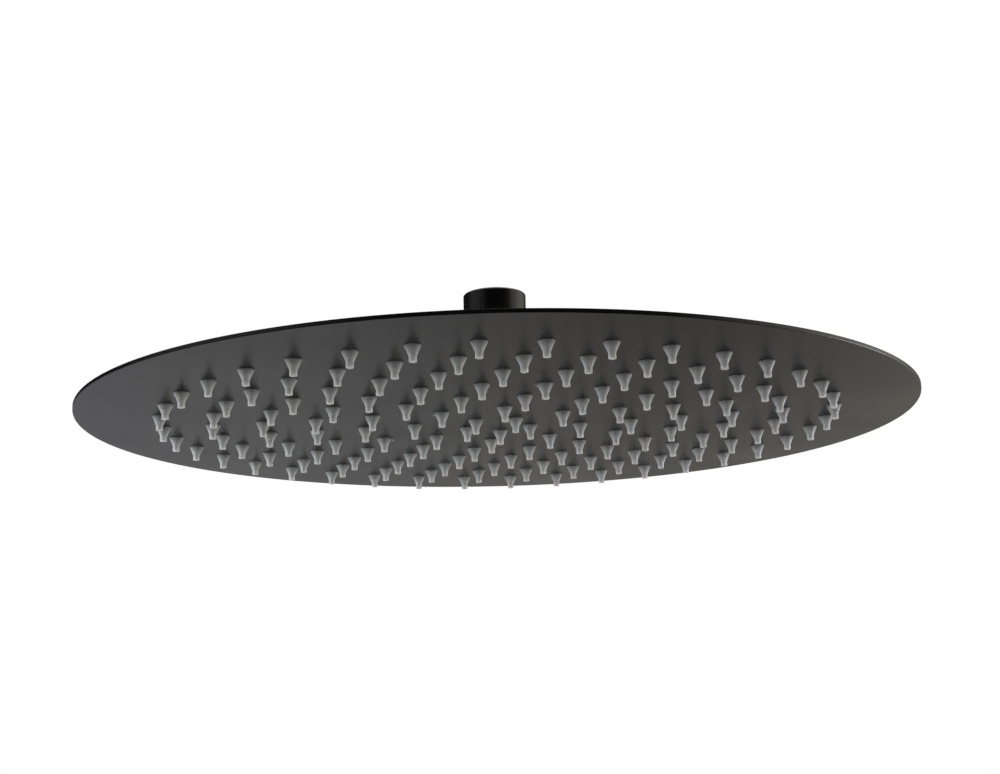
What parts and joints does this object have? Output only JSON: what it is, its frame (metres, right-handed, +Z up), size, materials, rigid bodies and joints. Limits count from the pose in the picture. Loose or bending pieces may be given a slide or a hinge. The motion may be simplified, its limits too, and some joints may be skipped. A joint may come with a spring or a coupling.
{
  "type": "rain shower head",
  "caption": "Thin round rain shower head: a black spray plate with rings of rubber nozzles, on a swivel ball joint under a threaded inlet nut.",
  "frame": {"origin": "middle of the inlet thread's mouth, at the top face of the connector nut", "axes": "+Z up, out of the inlet thread along the head's axis; +X to the picture's right, +Y away from its camera"},
  "size_m": [0.35, 0.35, 0.0629],
  "materials": {
    "black_plate": "satin black paint on stainless steel sheet",
    "black_brass": "satin black paint on turned brass",
    "bare_brass": "turned",
    "chromed_ball": "polished",
    "bare_steel": "plain",
    "seal_rubber": "moulded",
    "seat_plastic": "moulded",
    "regulator_plastic": "moulded",
    "nozzle_silicone": "grey moulded silicone"
  },
  "bodies": {
    "inlet": {"connector_nut": "black_brass"},
    "stem": {"tailpiece": "bare_brass", "inlet_washer": "seal_rubber", "filter_screen": "bare_steel", "flow_regulator": "regulator_plastic", "regulator_ring": "seal_rubber", "swivel_ball": "chromed_ball"},
    "ball_seats": {"slip_ring": "seat_plastic", "ball_seat": "seat_plastic", "seat_ring": "seal_rubber"},
    "head": {"retaining_collar": "black_brass", "socket_neck": "black_brass", "back_plate": "black_plate", "face_plate": "black_plate", "stay_posts": "bare_steel", "nozzles_ring_1": "nozzle_silicone", "nozzles_ring_2": "nozzle_silicone", "nozzles_ring_3": "nozzle_silicone", "nozzles_ring_4": "nozzle_silicone", "nozzles_ring_5": "nozzle_silicone", "nozzles_ring_6": "nozzle_silicone", "nozzles_ring_7": "nozzle_silicone"}
  },
  "joints": [
    {"name": "nut_spin", "type": "hinge", "parent": "inlet", "child": "stem", "pos_m": [0, 0, 0], "axis": [0, 0, 1], "continuous": true},
    {"name": "ball_tilt", "type": "hinge", "parent": "stem", "child": "ball_seats", "pos_m": [0, 0, -0.03353], "axis": [1, 0, 0], "range_deg": [-15, 15]},
    {"name": "head_spin", "type": "hinge", "parent": "ball_seats", "child": "head", "pos_m": [0, 0, -0.03353], "axis": [0, 0, 1], "continuous": true}
  ]
}
